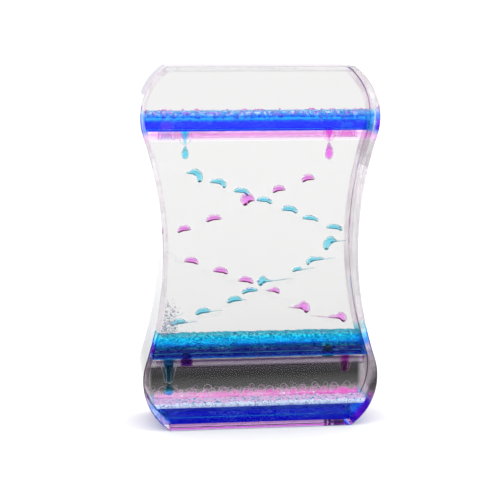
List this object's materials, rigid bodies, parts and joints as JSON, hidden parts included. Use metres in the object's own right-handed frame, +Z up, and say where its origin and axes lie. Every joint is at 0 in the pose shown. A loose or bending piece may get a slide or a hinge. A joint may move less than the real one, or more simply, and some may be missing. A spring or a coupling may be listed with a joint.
{
  "type": "liquid motion timer",
  "caption": "Free-standing hourglass tank of clear acrylic in which cyan and pink liquids drip through oil, roll down stair ramps and settle in pools; it is turned over to start it again.",
  "frame": {"origin": "middle of the flat base that the timer stands on", "axes": "+Z up, from the base to the flat top; +X to the right across the front; -Y towards the viewer, so that the cyan lane is in front"},
  "size_m": [0.085, 0.03, 0.13],
  "materials": {
    "clear_acrylic": "polished clear acrylic sheet",
    "fitting_acrylic": "clear moulded acrylic",
    "ramp_acrylic": "clear moulded acrylic",
    "plug_plastic": "clear plug, glued in",
    "cyan_liquid": "dyed water",
    "pink_liquid": "dyed water",
    "cyan_froth": "fine froth of dyed water in oil",
    "pink_froth": "bubbles with a dyed film",
    "clear_bubbles": "small clear bubbles",
    "clear_oil": "clear light mineral oil"
  },
  "bodies": {
    "tank": {"back_fill_plug": "plug_plastic", "back_lower_divider": "clear_acrylic", "back_lower_drain_funnel": "fitting_acrylic", "back_lower_drip_nozzle": "fitting_acrylic", "back_lower_oil": "clear_oil", "back_lower_ramp": "ramp_acrylic", "back_middle_oil": "clear_oil", "back_panel": "clear_acrylic", "back_upper_divider": "clear_acrylic", "back_upper_drain_funnel": "fitting_acrylic", "back_upper_drip_nozzle": "fitting_acrylic", "back_upper_oil": "clear_oil", "back_upper_ramp": "ramp_acrylic", "bottom_plate": "clear_acrylic", "clinging_bubbles": "clear_bubbles", "cyan_lower_froth": "cyan_froth", "cyan_lower_pool": "cyan_liquid", "cyan_middle_froth": "cyan_froth", "cyan_middle_pool": "cyan_liquid", "cyan_upper_froth": "cyan_froth", "cyan_upper_pool": "cyan_liquid", "front_fill_plug": "plug_plastic", "front_lower_divider": "clear_acrylic", "front_lower_drain_funnel": "fitting_acrylic", "front_lower_drip_nozzle": "fitting_acrylic", "front_lower_oil": "clear_oil", "front_lower_ramp": "ramp_acrylic", "front_middle_oil": "clear_oil", "front_panel": "clear_acrylic", "front_upper_divider": "clear_acrylic", "front_upper_drain_funnel": "fitting_acrylic", "front_upper_drip_nozzle": "fitting_acrylic", "front_upper_oil": "clear_oil", "front_upper_ramp": "ramp_acrylic", "lane_partition": "clear_acrylic", "left_wall": "clear_acrylic", "pink_lower_bubbles": "pink_froth", "pink_lower_pool": "pink_liquid", "pink_middle_froth": "pink_froth", "pink_middle_pool": "pink_liquid", "pink_upper_froth": "pink_froth", "pink_upper_pool": "pink_liquid", "right_wall": "clear_acrylic", "top_plate": "clear_acrylic"},
    "cyan_upper_drops": {"cyan_upper_drops": "cyan_liquid"},
    "cyan_lower_drops": {"cyan_lower_drops": "cyan_liquid"},
    "pink_upper_drops": {"pink_upper_drops": "pink_liquid"},
    "pink_lower_drops": {"pink_lower_drops": "pink_liquid"},
    "cyan_pendant_drop": {"cyan_pendant_drop": "cyan_liquid"},
    "pink_pendant_drop": {"pink_pendant_drop": "pink_liquid"},
    "cyan_drain_drop": {"cyan_drain_drop": "cyan_liquid"}
  },
  "joints": [
    {"name": "cyan_upper_roll", "type": "slide", "parent": "tank", "child": "cyan_upper_drops", "axis": [0.9932, 0, -0.1167], "range_m": [0, 0.0025]},
    {"name": "cyan_lower_roll", "type": "slide", "parent": "tank", "child": "cyan_lower_drops", "axis": [-0.9932, 0, -0.1167], "range_m": [0, 0.0025]},
    {"name": "pink_upper_roll", "type": "slide", "parent": "tank", "child": "pink_upper_drops", "axis": [-0.9932, 0, -0.1167], "range_m": [0, 0.0025]},
    {"name": "pink_lower_roll", "type": "slide", "parent": "tank", "child": "pink_lower_drops", "axis": [0.9932, 0, -0.1167], "range_m": [0, 0.0025]},
    {"name": "cyan_pendant_fall", "type": "slide", "parent": "tank", "child": "cyan_pendant_drop", "axis": [0, 0, -1], "range_m": [0, 0.0024]},
    {"name": "pink_pendant_fall", "type": "slide", "parent": "tank", "child": "pink_pendant_drop", "axis": [0, 0, -1], "range_m": [0, 0.0024]},
    {"name": "cyan_drain_fall", "type": "slide", "parent": "tank", "child": "cyan_drain_drop", "axis": [0, 0, -1], "range_m": [0, 0.0015]}
  ]
}
